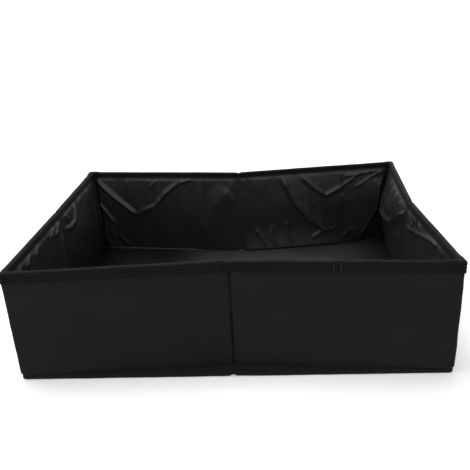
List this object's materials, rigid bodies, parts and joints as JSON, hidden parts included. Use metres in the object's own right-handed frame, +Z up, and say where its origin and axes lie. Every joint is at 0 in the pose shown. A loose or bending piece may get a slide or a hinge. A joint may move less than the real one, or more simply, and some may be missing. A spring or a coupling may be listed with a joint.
{
  "type": "foldable litter box",
  "caption": "Open rectangular fabric tray with stiffened, bowed walls, a bound rim and a glossy lining, that folds flat as its side walls turn in and its base folds in a V.",
  "frame": {"origin": "on the floor under the middle of the base, at the crossing of its two creases", "axes": "+X to the right along the front wall, +Y from the front wall to the back wall, +Z up"},
  "size_m": [0.4, 0.3004, 0.112],
  "materials": {
    "fabric": "matte black woven fabric",
    "binding": "matte black woven tape",
    "lining": "thin glossy black waterproof lining",
    "board": null
  },
  "bodies": {
    "base_front": {"base_cover_front": "fabric", "floor_lining_front": "lining", "base_board_front_left": "board", "base_board_front_right": "board"},
    "base_back": {"base_cover_back": "fabric", "floor_lining_back": "lining", "base_board_back_left": "board", "base_board_back_right": "board"},
    "front_corners": {"corner_seam_front_left": "fabric", "corner_seam_front_right": "fabric", "rim_corner_front_left": "binding", "rim_corner_front_right": "binding"},
    "front_left": {"outer_fabric_front_left": "fabric", "board_front_left": "board", "lining_front_left": "lining", "binding_front_left": "binding"},
    "front_right": {"outer_fabric_front_right": "fabric", "board_front_right": "board", "lining_front_right": "lining", "binding_front_right": "binding"},
    "left_front": {"outer_fabric_left_front": "fabric", "board_left_front": "board", "lining_left_front": "lining", "binding_left_front": "binding"},
    "right_front": {"outer_fabric_right_front": "fabric", "board_right_front": "board", "lining_right_front": "lining", "binding_right_front": "binding"},
    "left_back": {"outer_fabric_left_back": "fabric", "board_left_back": "board", "lining_left_back": "lining", "binding_left_back": "binding"},
    "right_back": {"outer_fabric_right_back": "fabric", "board_right_back": "board", "lining_right_back": "lining", "binding_right_back": "binding"},
    "back_left": {"outer_fabric_back_left": "fabric", "board_back_left": "board", "lining_back_left": "lining", "binding_back_left": "binding", "corner_seam_back_left": "fabric", "rim_corner_back_left": "binding"},
    "back_right": {"outer_fabric_back_right": "fabric", "board_back_right": "board", "lining_back_right": "lining", "binding_back_right": "binding", "corner_seam_back_right": "fabric", "rim_corner_back_right": "binding"}
  },
  "joints": [
    {"name": "ring_tilt", "type": "hinge", "parent": "base_front", "child": "front_corners", "pos_m": [0, -0.15, 0.0043], "axis": [1, 0, 0], "range_deg": [0, 84]},
    {"name": "base_fold", "type": "hinge", "parent": "base_front", "child": "base_back", "pos_m": [0, 0, 0.0043], "axis": [1, 0, 0], "range_deg": [0, 168]},
    {"name": "front_left_straighten", "type": "hinge", "parent": "front_corners", "child": "front_left", "pos_m": [-0.1953, -0.14515, 0.0043], "axis": [0, 0, -1], "range_deg": [0, 3.82]},
    {"name": "front_right_straighten", "type": "hinge", "parent": "front_corners", "child": "front_right", "pos_m": [0.1953, -0.14515, 0.0043], "axis": [0, 0, 1], "range_deg": [0, 3.82]},
    {"name": "left_front_corner", "type": "hinge", "parent": "front_corners", "child": "left_front", "pos_m": [-0.1953, -0.14515, 0.0043], "axis": [0, 0, -1], "range_deg": [0, 83.31]},
    {"name": "right_front_corner", "type": "hinge", "parent": "front_corners", "child": "right_front", "pos_m": [0.1953, -0.14515, 0.0043], "axis": [0, 0, 1], "range_deg": [0, 79.95]},
    {"name": "left_middle_fold", "type": "hinge", "parent": "left_front", "child": "left_back", "pos_m": [-0.19826, 0.00005, 0.0043], "axis": [0, 0, 1], "range_deg": [0, 167.21]},
    {"name": "right_middle_fold", "type": "hinge", "parent": "right_front", "child": "right_back", "pos_m": [0.18975, -0.00003, 0.0043], "axis": [0, 0, -1], "range_deg": [0, 160.5]},
    {"name": "left_back_corner", "type": "hinge", "parent": "left_back", "child": "back_left", "pos_m": [-0.19382, 0.1452, 0.0043], "axis": [0, 0, -1], "range_deg": [0, 76.84]},
    {"name": "right_back_corner", "type": "hinge", "parent": "right_back", "child": "back_right", "pos_m": [0.19382, 0.14514, 0.0043], "axis": [0, 0, 1], "range_deg": [0, 73.48]}
  ],
  "couplings": [
    {"joint": "base_fold", "follows": "ring_tilt", "ratio": 2},
    {"joint": "front_left_straighten", "follows": "ring_tilt", "ratio": 0.045436},
    {"joint": "front_right_straighten", "follows": "ring_tilt", "ratio": 0.045436},
    {"joint": "left_front_corner", "follows": "ring_tilt", "ratio": 0.99182},
    {"joint": "right_front_corner", "follows": "ring_tilt", "ratio": 0.95184},
    {"joint": "left_middle_fold", "follows": "ring_tilt", "ratio": 1.9906},
    {"joint": "right_middle_fold", "follows": "ring_tilt", "ratio": 1.9106},
    {"joint": "left_back_corner", "follows": "ring_tilt", "ratio": 0.91475},
    {"joint": "right_back_corner", "follows": "ring_tilt", "ratio": 0.87478}
  ]
}
